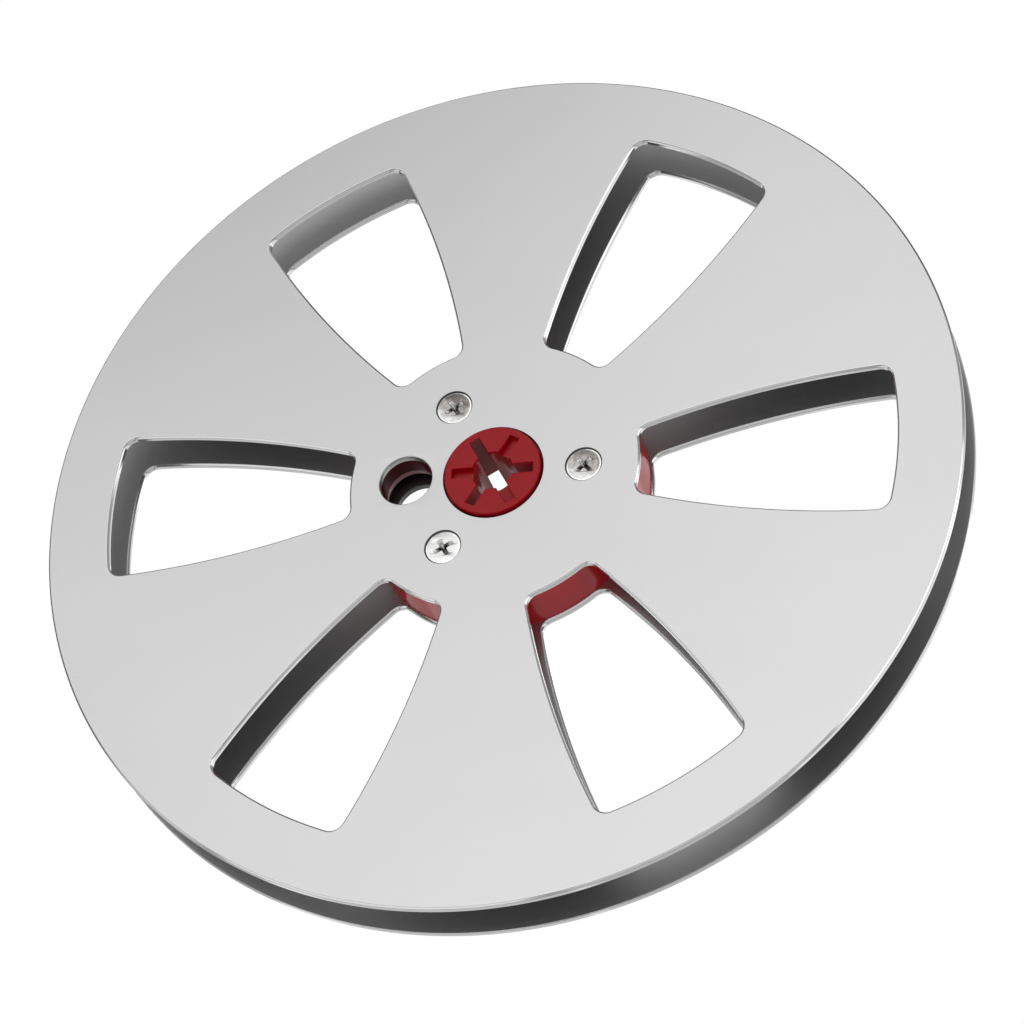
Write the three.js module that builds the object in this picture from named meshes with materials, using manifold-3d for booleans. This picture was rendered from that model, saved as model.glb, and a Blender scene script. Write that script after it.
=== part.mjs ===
// An empty seven-inch tape reel: two aluminium flanges with six windows each, fixed by six
// countersunk screws to a moulded plastic hub. The hub carries the tape, and its bore and
// keyways fit the deck's three-lobed spindle.
// Millimetres. The origin is the centre of the reel, halfway between the flanges.
// +Z runs along the spindle axis towards the front flange. +X points at the first screw.

import * as THREE from "three";
import { mergeVertices } from "three/addons/utils/BufferGeometryUtils.js";
import Module from "manifold-3d";

// ---- Driving dimensions ----

// Flanges
const FLANGE_RADIUS = 88.9;
const FLANGE_THICKNESS = 1.5;
const FLANGE_GAP = 9.2;
const EDGE_CHAMFER = 0.35;
const HOLE_CHAMFER = 0.15;
const HUB_HOLE_RADIUS = 9.75;
const HUB_HOLE_CHAMFER = 0.05;

// Windows: an outer and an inner arc about the spindle axis, joined by two bowed sides.
// A side's centre is given along the window's middle line and across it.
const WINDOW_COUNT = 6;
const WINDOW_OUTER_RADIUS = 76.6;
const WINDOW_INNER_RADIUS = 28.25;
const WINDOW_SIDE_RADIUS = 169.65;
const WINDOW_SIDE_CENTRE_ALONG = 80.5;
const WINDOW_SIDE_CENTRE_ACROSS = -154.4;
const WINDOW_OUTER_FILLET = 2.65;
const WINDOW_INNER_FILLET = 2.45;

// Peep hole, through both flanges and the hub, opposite the first screw
const PEEP_CIRCLE_RADIUS = 17.2;
const PEEP_HOLE_RADIUS = 5.15;
const PEEP_COLLAR_RADIUS = 6.9;
const PEEP_COLLAR_END_Z = -0.8;
const PEEP_LIP_ROUND = 0.8;

// Hub
const DRUM_RADIUS = 27.8;
const DRUM_WALL = 2.4;
const WEB_THICKNESS = 2.2;
const RIB_THICKNESS = 1.6;
const BOSS_RADIUS = 9.35;
const BOSS_PROUD = 0.8;
const BOSS_EDGE_ROUND = 0.25;
const BORE_RADIUS = 4.0;
const SCREW_POST_RADIUS = 3.6;
const PILOT_RADIUS = 1.8;

// Keyways: three run right through and widen towards the rear, as their core draws out that
// way. Three more of the same outline, between them, are shallow recesses in both faces.
const KEYWAY_COUNT = 3;
const KEYWAY_REACH = 7.95;
const KEYWAY_REACH_REAR = 8.9;
const KEYWAY_WIDTH = 2.1;
const KEYWAY_WIDTH_REAR = 2.6;
const KEYWAY_RECESS_DEPTH = 1.3;

// Screws: 3.5 mm countersunk tapping screws with a cross recess, three on each side
const SCREW_COUNT = 3;
const SCREW_CIRCLE_RADIUS = 17.5;
const SCREW_LENGTH = 5.2;
const HEAD_RADIUS = 3.4;
const HEAD_RIM_HEIGHT = 0.25;
const HEAD_BELOW_FACE = 0.2;
const SEAT_RADIUS = 3.55;
const SEAT_CLEARANCE = 0.05;
const SHANK_RADIUS = 1.72;
const SHANK_CORE_RADIUS = 1.28;
const THREAD_PITCH = 1.27;
const THREAD_TURNS = 2;
const THREAD_START_TURN = 0.4;
const TIP_RADIUS = 0.6;
const TIP_LENGTH = 0.6;
const RECESS_SPAN = 3.7;
const RECESS_WING_WIDTH = 0.85;
const RECESS_DEPTH = 1.9;
const RECESS_FLOOR_SCALE = 0.3;

// Finish
const FLANGE_COLOUR = 0xc9c9c9;
const HUB_COLOUR = 0x9b1c26;
const SCREW_COLOUR = 0xcfcdc8;

// Facets
const RIM_SEGMENTS = 96;
const ROUND_SEGMENTS = 48;
const SMALL_ROUND_SEGMENTS = 24;
const FILLET_SEGMENTS = 4;
const WINDOW_SIDE_SEGMENTS = 4;
const WINDOW_END_SEGMENTS = 3;

// ---- Levels and angles worked out from them ----

const INNER_FACE_Z = FLANGE_GAP / 2;
const OUTER_FACE_Z = INNER_FACE_Z + FLANGE_THICKNESS;
const BOSS_FACE_Z = OUTER_FACE_Z + BOSS_PROUD;
const HEAD_TOP_Z = OUTER_FACE_Z - HEAD_BELOW_FACE;
const HEAD_RIM_Z = HEAD_TOP_Z - HEAD_RIM_HEIGHT;
const SEAT_CONE_TOP_Z = HEAD_RIM_Z + (SEAT_RADIUS - HEAD_RADIUS) - SEAT_CLEARANCE;
const SEAT_CONE_END_Z = SEAT_CONE_TOP_Z - (SEAT_RADIUS - PILOT_RADIUS);
const THIRD_TURN = (2 * Math.PI) / 3;
const SIXTH_TURN = Math.PI / 3;
const PAST = 1; // how far a cutting tool runs past the face it cuts

// ---- Solids: joining and cutting ----

const wasm = await Module();
wasm.setup();

function toSolid(geometry) {
  const bare = geometry.clone();
  bare.deleteAttribute("normal");
  bare.deleteAttribute("uv");
  const merged = mergeVertices(bare, 1e-4);
  return new wasm.Manifold(
    new wasm.Mesh({
      numProp: 3,
      vertProperties: new Float32Array(merged.attributes.position.array),
      triVerts: new Uint32Array(merged.index.array),
    }),
  );
}

function toGeometry(solid) {
  const mesh = solid.getMesh();
  const geometry = new THREE.BufferGeometry();
  geometry.setAttribute("position", new THREE.BufferAttribute(mesh.vertProperties, 3));
  geometry.setIndex(new THREE.BufferAttribute(mesh.triVerts, 1));
  const faceted = geometry.toNonIndexed();
  faceted.computeVertexNormals();
  return faceted;
}

function join(solid, geometries) {
  return geometries.reduce((sum, geometry) => sum.add(toSolid(geometry)), solid);
}

function cut(solid, geometries) {
  return geometries.reduce((rest, geometry) => rest.subtract(toSolid(geometry)), solid);
}

// ---- Shared shapes ----

// A body turned about Z from a profile of [radius, height] pairs. The profile runs upwards on
// its outer side, and starts and ends on the axis or closes on itself.
function turned(profile, segments = ROUND_SEGMENTS) {
  const points = profile.map(([radius, height]) => new THREE.Vector2(radius, height));
  return new THREE.LatheGeometry(points, segments).rotateX(Math.PI / 2);
}

function ring(profile, segments) {
  return turned([...profile, profile[0]], segments);
}

function pin(radius, lowZ, highZ, segments = ROUND_SEGMENTS) {
  return turned([[0, lowZ], [radius, lowZ], [radius, highZ], [0, highZ]], segments);
}

// A round cutter for a hole whose two mouths are chamfered.
function chamferedHoleCutter(radius, lowZ, highZ, chamfer, segments = ROUND_SEGMENTS) {
  const wide = radius + chamfer + PAST;
  return turned(
    [
      [0, lowZ - PAST],
      [wide, lowZ - PAST],
      [radius, lowZ + chamfer],
      [radius, highZ - chamfer],
      [wide, highZ + PAST],
      [0, highZ + PAST],
    ],
    segments,
  );
}

function atPolar(geometry, radius, angle) {
  return geometry.translate(radius * Math.cos(angle), radius * Math.sin(angle), 0);
}

function atPeepHole(geometry) {
  return atPolar(geometry, PEEP_CIRCLE_RADIUS, Math.PI);
}

function screwAngles() {
  return Array.from({ length: SCREW_COUNT }, (_, i) => i * THIRD_TURN);
}

// ---- Flanges ----

// Where a circle about the origin meets a circle about a window side's centre, on the side of
// the window's middle line that is positive across it.
function cornerCentre(radiusFromAxis, radiusFromSide) {
  const centre = new THREE.Vector2(WINDOW_SIDE_CENTRE_ALONG, WINDOW_SIDE_CENTRE_ACROSS);
  const reach = centre.length();
  const along = (radiusFromAxis ** 2 - radiusFromSide ** 2 + reach ** 2) / (2 * reach);
  const across = Math.sqrt(radiusFromAxis ** 2 - along ** 2);
  const unit = centre.clone().normalize();
  return new THREE.Vector2(
    unit.x * along - unit.y * across,
    unit.y * along + unit.x * across,
  );
}

function arcPoints(centre, radius, fromAngle, toAngle, segments) {
  return Array.from({ length: segments + 1 }, (_, i) => {
    const angle = fromAngle + ((toAngle - fromAngle) * i) / segments;
    return new THREE.Vector2(
      centre.x + radius * Math.cos(angle),
      centre.y + radius * Math.sin(angle),
    );
  });
}

// Half of a window's outline about +X, from the middle of its outer arc to the middle of its
// inner arc. Fillets touch both of the arcs that they join.
function halfWindow() {
  const axis = new THREE.Vector2(0, 0);
  const side = new THREE.Vector2(WINDOW_SIDE_CENTRE_ALONG, WINDOW_SIDE_CENTRE_ACROSS);
  const outer = cornerCentre(
    WINDOW_OUTER_RADIUS - WINDOW_OUTER_FILLET,
    WINDOW_SIDE_RADIUS - WINDOW_OUTER_FILLET,
  );
  const inner = cornerCentre(
    WINDOW_INNER_RADIUS + WINDOW_INNER_FILLET,
    WINDOW_SIDE_RADIUS - WINDOW_INNER_FILLET,
  );
  const outerFromSide = outer.clone().sub(side).angle();
  const innerFromSide = inner.clone().sub(side).angle();
  const innerFromAxis = inner.angle() + Math.PI;
  return [
    ...arcPoints(axis, WINDOW_OUTER_RADIUS, 0, outer.angle(), WINDOW_END_SEGMENTS),
    ...arcPoints(outer, WINDOW_OUTER_FILLET, outer.angle(), outerFromSide, FILLET_SEGMENTS),
    ...arcPoints(side, WINDOW_SIDE_RADIUS, outerFromSide, innerFromSide, WINDOW_SIDE_SEGMENTS),
    ...arcPoints(inner, WINDOW_INNER_FILLET, innerFromSide, innerFromAxis, FILLET_SEGMENTS),
    ...arcPoints(axis, WINDOW_INNER_RADIUS, inner.angle(), 0, WINDOW_END_SEGMENTS),
  ];
}

function windowPath(angle) {
  const upper = halfWindow();
  const lower = upper.map((point) => new THREE.Vector2(point.x, -point.y)).reverse();
  const turn = new THREE.Vector2(0, 0);
  const outline = [...upper, ...lower].map((point) => point.rotateAround(turn, angle));
  const apart = outline.filter(
    (point, i) => point.distanceTo(outline[(i + 1) % outline.length]) > 1e-4,
  );
  return new THREE.Path(apart);
}

// The sheet with its rim and windows chamfered on both faces, from INNER_FACE_Z to OUTER_FACE_Z.
function flangeSheet() {
  const rim = Array.from({ length: RIM_SEGMENTS }, (_, i) => {
    const angle = (2 * Math.PI * i) / RIM_SEGMENTS;
    return new THREE.Vector2(FLANGE_RADIUS * Math.cos(angle), FLANGE_RADIUS * Math.sin(angle));
  });
  const outline = new THREE.Shape(rim);
  for (let i = 0; i < WINDOW_COUNT; i++) outline.holes.push(windowPath(i * SIXTH_TURN));
  return new THREE.ExtrudeGeometry(outline, {
    depth: FLANGE_THICKNESS - 2 * EDGE_CHAMFER,
    bevelThickness: EDGE_CHAMFER,
    bevelSize: EDGE_CHAMFER,
    bevelOffset: -EDGE_CHAMFER,
    bevelSegments: 1,
  }).translate(0, 0, INNER_FACE_Z + EDGE_CHAMFER);
}

// A screw head's seat: a short straight mouth, then a cone that follows the head's own.
function seatCutter() {
  return turned(
    [
      [0, SEAT_CONE_END_Z],
      [PILOT_RADIUS, SEAT_CONE_END_Z],
      [SEAT_RADIUS, SEAT_CONE_TOP_Z],
      [SEAT_RADIUS, OUTER_FACE_Z + PAST],
      [0, OUTER_FACE_Z + PAST],
    ],
    SMALL_ROUND_SEGMENTS,
  );
}

function flangeSolid() {
  const hubHole = chamferedHoleCutter(
    HUB_HOLE_RADIUS,
    INNER_FACE_Z,
    OUTER_FACE_Z,
    HUB_HOLE_CHAMFER,
  );
  const peepHole = atPeepHole(
    chamferedHoleCutter(PEEP_HOLE_RADIUS, INNER_FACE_Z, OUTER_FACE_Z, HOLE_CHAMFER),
  );
  const seats = screwAngles().map((angle) => atPolar(seatCutter(), SCREW_CIRCLE_RADIUS, angle));
  return cut(toSolid(flangeSheet()), [hubHole, peepHole, ...seats]);
}

// ---- Hub ----

// The drum the tape winds on, its web behind the front flange, and the central boss.
function drumAndBoss() {
  const webRearZ = INNER_FACE_Z - WEB_THICKNESS;
  const wallInner = DRUM_RADIUS - DRUM_WALL;
  return ring([
    [BORE_RADIUS, -BOSS_FACE_Z],
    [BOSS_RADIUS - BOSS_EDGE_ROUND, -BOSS_FACE_Z],
    [BOSS_RADIUS, -BOSS_FACE_Z + BOSS_EDGE_ROUND],
    [BOSS_RADIUS, webRearZ],
    [wallInner, webRearZ],
    [wallInner, -INNER_FACE_Z],
    [DRUM_RADIUS, -INNER_FACE_Z],
    [DRUM_RADIUS, INNER_FACE_Z],
    [BOSS_RADIUS, INNER_FACE_Z],
    [BOSS_RADIUS, BOSS_FACE_Z - BOSS_EDGE_ROUND],
    [BOSS_RADIUS - BOSS_EDGE_ROUND, BOSS_FACE_Z],
    [BORE_RADIUS, BOSS_FACE_Z],
  ]);
}

// A post for a screw from each side, tied to the boss and the drum by a rib.
function screwPost(angle) {
  const post = pin(SCREW_POST_RADIUS, -INNER_FACE_Z, INNER_FACE_Z, SMALL_ROUND_SEGMENTS);
  return atPolar(post, SCREW_CIRCLE_RADIUS, angle);
}

function rib(angle) {
  const start = BOSS_RADIUS - PAST;
  const end = DRUM_RADIUS - DRUM_WALL / 2;
  return new THREE.BoxGeometry(end - start, RIB_THICKNESS, 2 * INNER_FACE_Z)
    .translate((start + end) / 2, 0, 0)
    .rotateZ(angle);
}

function peepCollar() {
  return atPeepHole(pin(PEEP_COLLAR_RADIUS, PEEP_COLLAR_END_Z, INNER_FACE_Z));
}

// The peep hole's cutter flares at the collar's end, which leaves the lip rounded.
function peepHoleCutter() {
  const flareTop = PEEP_COLLAR_END_Z + PEEP_LIP_ROUND;
  const middle = PEEP_LIP_ROUND * (1 - Math.SQRT1_2);
  return atPeepHole(
    turned([
      [0, PEEP_COLLAR_END_Z - PAST],
      [PEEP_HOLE_RADIUS + PEEP_LIP_ROUND, PEEP_COLLAR_END_Z - PAST],
      [PEEP_HOLE_RADIUS + PEEP_LIP_ROUND, PEEP_COLLAR_END_Z],
      [PEEP_HOLE_RADIUS + middle, PEEP_COLLAR_END_Z + middle],
      [PEEP_HOLE_RADIUS, flareTop],
      [PEEP_HOLE_RADIUS, INNER_FACE_Z + PAST],
      [0, INNER_FACE_Z + PAST],
    ]),
  );
}

// A bar from the axis outwards that widens and lengthens towards the rear.
function keywayCutter(angle) {
  const height = 2 * (BOSS_FACE_Z + PAST);
  const bar = new THREE.BoxGeometry(1, 1, height).translate(0.5, 0, 0);
  const points = bar.attributes.position;
  for (let i = 0; i < points.count; i++) {
    const isRear = points.getZ(i) < 0;
    const reach = isRear ? KEYWAY_REACH_REAR : KEYWAY_REACH;
    const width = isRear ? KEYWAY_WIDTH_REAR : KEYWAY_WIDTH;
    points.setX(i, points.getX(i) * reach);
    points.setY(i, points.getY(i) * width);
  }
  return bar.rotateZ(angle);
}

function keywayRecessCutter(angle, side) {
  const height = KEYWAY_RECESS_DEPTH + PAST;
  return new THREE.BoxGeometry(KEYWAY_REACH, KEYWAY_WIDTH, height)
    .translate(KEYWAY_REACH / 2, 0, side * (BOSS_FACE_Z - KEYWAY_RECESS_DEPTH + height / 2))
    .rotateZ(angle);
}

// The pilot hole runs right through a post. Its ends open out into the screws' seats.
function pilotCutter(angle) {
  const cutter = turned(
    [
      [0, -SEAT_CONE_TOP_Z],
      [SEAT_RADIUS, -SEAT_CONE_TOP_Z],
      [PILOT_RADIUS, -SEAT_CONE_END_Z],
      [PILOT_RADIUS, SEAT_CONE_END_Z],
      [SEAT_RADIUS, SEAT_CONE_TOP_Z],
      [0, SEAT_CONE_TOP_Z],
    ],
    SMALL_ROUND_SEGMENTS,
  );
  return atPolar(cutter, SCREW_CIRCLE_RADIUS, angle);
}

function hubSolid() {
  const body = join(toSolid(drumAndBoss()), [
    ...screwAngles().map(screwPost),
    ...screwAngles().map(rib),
    peepCollar(),
  ]);
  const keyAngles = Array.from({ length: KEYWAY_COUNT }, (_, i) => i * THIRD_TURN);
  return cut(body, [
    pin(BORE_RADIUS, -BOSS_FACE_Z - PAST, BOSS_FACE_Z + PAST),
    ...keyAngles.map(keywayCutter),
    ...keyAngles.map((angle) => keywayRecessCutter(angle + SIXTH_TURN, 1)),
    ...keyAngles.map((angle) => keywayRecessCutter(angle + SIXTH_TURN, -1)),
    ...screwAngles().map(pilotCutter),
    peepHoleCutter(),
  ]);
}

// ---- Screws ----

// The head, shank and point, standing with its head at the front flange's face. The thread is
// drawn as a ridge for each turn.
function screwBlank() {
  const neckZ = HEAD_RIM_Z - (HEAD_RADIUS - SHANK_CORE_RADIUS);
  const tipZ = HEAD_TOP_Z - SCREW_LENGTH;
  const threadStartZ = tipZ + TIP_LENGTH;
  const ridges = Array.from({ length: THREAD_TURNS }, (_, i) => {
    const ridgeZ = threadStartZ + (i + THREAD_START_TURN) * THREAD_PITCH;
    return [
      [SHANK_CORE_RADIUS, ridgeZ - THREAD_PITCH / 4],
      [SHANK_RADIUS, ridgeZ],
      [SHANK_CORE_RADIUS, ridgeZ + THREAD_PITCH / 4],
    ];
  });
  return turned(
    [
      [0, tipZ],
      [TIP_RADIUS, tipZ],
      [SHANK_CORE_RADIUS, threadStartZ],
      ...ridges.flat(),
      [SHANK_CORE_RADIUS, neckZ],
      [HEAD_RADIUS, HEAD_RIM_Z],
      [HEAD_RADIUS, HEAD_TOP_Z],
      [0, HEAD_TOP_Z],
    ],
    SMALL_ROUND_SEGMENTS,
  );
}

// One of the recess's two crossing slots, which narrows towards its floor.
function recessSlot(angle) {
  const height = RECESS_DEPTH + PAST;
  const slot = new THREE.BoxGeometry(RECESS_SPAN, RECESS_WING_WIDTH, height);
  slot.translate(0, 0, HEAD_TOP_Z + PAST - height / 2);
  const points = slot.attributes.position;
  const floorZ = HEAD_TOP_Z - RECESS_DEPTH;
  for (let i = 0; i < points.count; i++) {
    const isFloor = points.getZ(i) < floorZ + PAST / 2;
    if (isFloor) {
      points.setX(i, points.getX(i) * RECESS_FLOOR_SCALE);
      points.setY(i, points.getY(i) * Math.sqrt(RECESS_FLOOR_SCALE));
    }
  }
  return slot.rotateZ(angle);
}

// Each screw stops at its own angle when it is driven home, so each recess is turned its own way.
function screwSolid(recessAngle) {
  return cut(toSolid(screwBlank()), [
    recessSlot(recessAngle),
    recessSlot(recessAngle + Math.PI / 2),
  ]);
}

// ---- Materials ----

function brushedAluminium() {
  return new THREE.MeshStandardMaterial({ color: FLANGE_COLOUR, metalness: 1, roughness: 0.42 });
}

function redPlastic() {
  return new THREE.MeshStandardMaterial({ color: HUB_COLOUR, metalness: 0, roughness: 0.3 });
}

function platedSteel() {
  return new THREE.MeshStandardMaterial({ color: SCREW_COLOUR, metalness: 1, roughness: 0.25 });
}

// ---- Assembly ----

function namedMesh(name, solid, material) {
  const mesh = new THREE.Mesh(toGeometry(solid), material);
  mesh.name = name;
  return mesh;
}

// A side of the reel: its flange and its screws, as they lie at the front.
function reelSide(name, recessAngles) {
  const side = new THREE.Group();
  side.add(namedMesh(`${name}_flange`, flangeSolid(), brushedAluminium()));
  screwAngles().forEach((angle, i) => {
    const screw = namedMesh(`${name}_screw_${i + 1}`, screwSolid(recessAngles[i]), platedSteel());
    screw.position.set(
      SCREW_CIRCLE_RADIUS * Math.cos(angle),
      SCREW_CIRCLE_RADIUS * Math.sin(angle),
      0,
    );
    side.add(screw);
  });
  return side;
}

const degrees = THREE.MathUtils.degToRad;
const front = reelSide("front", [degrees(45), degrees(32), degrees(30)]);
const rear = reelSide("rear", [degrees(20), degrees(75), degrees(51)]);
rear.rotation.x = Math.PI; // the rear side is the front one turned over about X

const reel = new THREE.Group();
reel.add(front, rear, namedMesh("hub", hubSolid(), redPlastic()));

export default reel;
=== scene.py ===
"""The looks of an empty seven-inch tape reel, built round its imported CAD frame.

Two satin aluminium flanges stand on a red moulded hub, held by three cross-recess screws a side.
Every CAD node is replaced by a finer mesh of the same main dimensions: machined edges are chamfered
and rounded, the screws have a real helical thread and a tapered recess, and the hub's bore and
keyways have rounded edges. Meshes are made in millimetres and brought to metres when finished.
"""

import math

import bmesh
import bpy
from mathutils import Matrix, Vector
from mathutils.geometry import tessellate_polygon


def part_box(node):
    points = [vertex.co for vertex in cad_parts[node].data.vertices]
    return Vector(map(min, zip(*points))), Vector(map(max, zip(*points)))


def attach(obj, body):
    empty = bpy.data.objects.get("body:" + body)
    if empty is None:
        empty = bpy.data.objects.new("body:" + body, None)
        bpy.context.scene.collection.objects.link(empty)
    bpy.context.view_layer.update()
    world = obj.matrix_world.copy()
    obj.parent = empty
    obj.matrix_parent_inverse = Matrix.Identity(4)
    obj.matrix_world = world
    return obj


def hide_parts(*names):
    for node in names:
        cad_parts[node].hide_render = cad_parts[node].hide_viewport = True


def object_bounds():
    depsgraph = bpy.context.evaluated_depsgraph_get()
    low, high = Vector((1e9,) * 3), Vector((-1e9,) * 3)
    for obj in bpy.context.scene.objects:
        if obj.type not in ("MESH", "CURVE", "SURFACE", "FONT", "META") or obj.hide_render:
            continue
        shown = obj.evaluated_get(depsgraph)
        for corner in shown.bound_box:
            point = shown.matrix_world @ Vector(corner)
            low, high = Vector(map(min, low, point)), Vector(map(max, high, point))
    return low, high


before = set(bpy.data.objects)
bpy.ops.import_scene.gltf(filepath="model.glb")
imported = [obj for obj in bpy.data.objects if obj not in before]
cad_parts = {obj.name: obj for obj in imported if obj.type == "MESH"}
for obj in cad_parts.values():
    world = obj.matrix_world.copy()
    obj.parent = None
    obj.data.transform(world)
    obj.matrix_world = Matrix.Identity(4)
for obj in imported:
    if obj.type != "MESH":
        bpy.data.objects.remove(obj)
cad_low, cad_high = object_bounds()

# ---- Dimensions taken from the frame ----

MM = 0.001

flange_low, flange_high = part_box("front_flange")
_, hub_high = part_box("hub")
screw_low, screw_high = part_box("front_screw_1")

FLANGE_RADIUS = flange_high.x / MM
INNER_FACE_Z = flange_low.z / MM
OUTER_FACE_Z = flange_high.z / MM
DRUM_RADIUS = hub_high.x / MM
BOSS_FACE_Z = hub_high.z / MM
SCREW_CIRCLE_RADIUS = (screw_low.x + screw_high.x) / 2 / MM
HEAD_RADIUS = (screw_high.x - screw_low.x) / 2 / MM
HEAD_TOP_Z = screw_high.z / MM
SCREW_TIP_Z = screw_low.z / MM

# ---- Dimensions of the details ----

FULL_TURN = 2 * math.pi
HALF_TURN = math.pi
THIRD_TURN = 2 * math.pi / 3
QUARTER_TURN = math.pi / 2
SIXTH_TURN = math.pi / 3
SAME_POINT_DISTANCE = 1e-4
WELD_DISTANCE = 0.002
SHARP_ANGLE = math.radians(38)
AREA_WEIGHT = 90
ROUND_STEPS = 6

# Flanges
EDGE_CHAMFER = 0.35
INNER_RIM_CHAMFER = 0.1
HOLE_CHAMFER = 0.15
HUB_HOLE_CHAMFER = 0.05
CHAMFER_ROUND = 0.06
HUB_HOLE_RADIUS = 9.75
WINDOW_COUNT = 6
WINDOW_OUTER_RADIUS = 76.6
WINDOW_INNER_RADIUS = 28.25
WINDOW_SIDE_RADIUS = 169.65
WINDOW_SIDE_CENTRE = Vector((80.5, -154.4))
WINDOW_OUTER_FILLET = 2.65
WINDOW_INNER_FILLET = 2.45
SEAT_RADIUS = 3.55
SEAT_STRAIGHT_DEPTH = 0.35
SEAT_EDGE = 0.05
SCREW_COUNT = 3

# Peep hole
PEEP_CIRCLE_RADIUS = 17.2
PEEP_HOLE_RADIUS = 5.15
PEEP_COLLAR_RADIUS = 6.9
PEEP_COLLAR_END_Z = -0.8
PEEP_FLARE_START_Z = 0.9
PEEP_FLARE = 0.3
PEEP_LIP_ROUND = 0.2

# Hub
DRUM_WALL = 2.4
WEB_THICKNESS = 2.2
RIB_THICKNESS = 1.6
BOSS_RADIUS = 9.35
BOSS_EDGE_ROUND = 0.25
BOSS_JOIN_RADIUS = 9.05
BORE_RADIUS = 4.0
SCREW_POST_RADIUS = 3.6
PILOT_RADIUS = 1.8
END_CLEARANCE = 0.02
CUTTER_OVERSHOOT = 1
KEYWAY_COUNT = 6
KEYWAY_REACH = 7.95
KEYWAY_REACH_REAR = 8.9
KEYWAY_HALF_WIDTH = 1.05
KEYWAY_HALF_WIDTH_REAR = 1.3
KEYWAY_RECESS_DEPTH = 1.3
KEYWAY_CORNER_ROUND = 0.15
LAND_CORNER_ROUND = 0.22
MOUTH_ROUND = 0.1

# Screws
HEAD_RIM_HEIGHT = 0.25
HEAD_BEVEL_WIDTH = 0.24
HEAD_BEVEL_DROP = 0.05
HEAD_EDGE_ROUND = 0.09
HEAD_BEVEL_START = HEAD_RADIUS - HEAD_EDGE_ROUND - HEAD_BEVEL_WIDTH
SHANK_RADIUS = 1.72
SHANK_CORE_RADIUS = 1.28
THREAD_PITCH = 1.27
THREAD_RIDGE_SHARE = 0.5
TIP_RADIUS = 0.6
TIP_LENGTH = 0.6
RECESS_SPAN = 3.7
RECESS_WING_WIDTH = 0.85
RECESS_DEPTH = 1.9
RECESS_OVERSHOOT = 0.3
RECESS_LEVEL_SHARES = (0.35, 0.7, 0.92, 1.0)
RECESS_FLOOR_SPAN_SHARE = 0.3
RECESS_FLOOR_WIDTH_SHARE = 0.55
RECESS_WING_ROUND = 0.34
RECESS_INNER_ROUND = 0.14
RECESS_MOUTH_FLARE = 0.07
FRONT_RECESS_DEGREES = (45, 32, 30)
REAR_RECESS_DEGREES = (20, 75, 51)
FRONT_TARNISH = (0.9, 1.0, 0.0)
REAR_TARNISH = (0.2, 0.6, 0.4)

# ---- Outlines ----

# An outline is a closed list of (point, way), where way is the unit vector into the material.
# Moving each point along its way gives the same outline at another offset.


def arc(centre, radius, start, end, segments, into=1):
    """Points on an arc. into is 1 where the material is outside the arc and -1 where it is inside."""
    made = []
    for i in range(segments + 1):
        angle = start + (end - start) * i / segments
        spoke = Vector((math.cos(angle), math.sin(angle)))
        made.append((Vector(centre) + spoke * radius, spoke * into))
    return made


def circle(centre, radius, segments, into=1):
    return arc(centre, radius, 0, FULL_TURN, segments, into)[:-1]


def turned_by(outline, angle):
    turn = Matrix.Rotation(angle, 2)
    return [(turn @ point, turn @ way) for point, way in outline]


def without_doubles(outline):
    """The outline without points that lie on the one before them."""
    kept = []
    for i, (point, way) in enumerate(outline):
        if (point - outline[i - 1][0]).length > SAME_POINT_DISTANCE:
            kept.append((point, way))
    return kept


def offset(outline, distance):
    return [point + way * distance for point, way in outline]


def angle_of(vector):
    return math.atan2(vector.y, vector.x)


def polar(radius, angle):
    return Vector((radius * math.cos(angle), radius * math.sin(angle)))


def around(radius, segments):
    """Even points on a circle about the origin."""
    return [polar(radius, FULL_TURN * i / segments) for i in range(segments)]


def quarter_turn_steps(count):
    """Even angles from 0 to a quarter turn."""
    return [QUARTER_TURN * i / count for i in range(count + 1)]


def rounded(profile, radius, steps):
    """A profile of (across, height) pairs whose inner corners become curves. Each curve starts and
    ends at radius from its corner."""
    made = [profile[0]]
    for before, corner, after in zip(profile, profile[1:], profile[2:]):
        before, corner, after = Vector(before), Vector(corner), Vector(after)
        first = corner + (before - corner).normalized() * radius
        last = corner + (after - corner).normalized() * radius
        for i in range(steps + 1):
            t = i / steps
            made.append(tuple(first * (1 - t) ** 2 + corner * 2 * t * (1 - t) + last * t**2))
    made.append(profile[-1])
    return made


# ---- Meshes ----


class Shape:
    """Vertices in millimetres and the faces between them."""

    def __init__(self):
        self.points = []
        self.faces = []
        self.material_of = []

    def ring(self, points, z):
        """Adds a ring of points at a height and returns their indices."""
        start = len(self.points)
        self.points += [(point[0], point[1], z) for point in points]
        return list(range(start, len(self.points)))

    def face(self, indices, material=0):
        self.faces.append(indices)
        self.material_of.append(material)

    def band(self, first, second, material=0, keep=None):
        """Joins two rings of the same length. keep says which of their segments get a face."""
        count = len(first)
        for i in range(count):
            j = (i + 1) % count
            if keep is None or keep[i]:
                self.face((first[i], first[j], second[j], second[i]), material)

    def cap(self, *rings, material=0):
        """Fills the flat region between closed rings."""
        flat = [i for ring in rings for i in ring]
        outlines = [[Vector(self.points[i]) for i in ring] for ring in rings]
        for triangle in tessellate_polygon(outlines):
            self.face([flat[i] for i in triangle], material)

    def make(self, name, *materials):
        mesh = bpy.data.meshes.new(name)
        mesh.from_pydata(self.points, [], self.faces)
        mesh.polygons.foreach_set("material_index", self.material_of)
        return finished(name, mesh, materials)


def finished(name, mesh, materials):
    """An object with its faces turned outwards."""
    work = bmesh.new()
    work.from_mesh(mesh)
    bmesh.ops.recalc_face_normals(work, faces=work.faces)
    work.to_mesh(mesh)
    work.free()
    for material in materials:
        mesh.materials.append(material)
    made = bpy.data.objects.new(name, mesh)
    bpy.context.scene.collection.objects.link(made)
    return made


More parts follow.
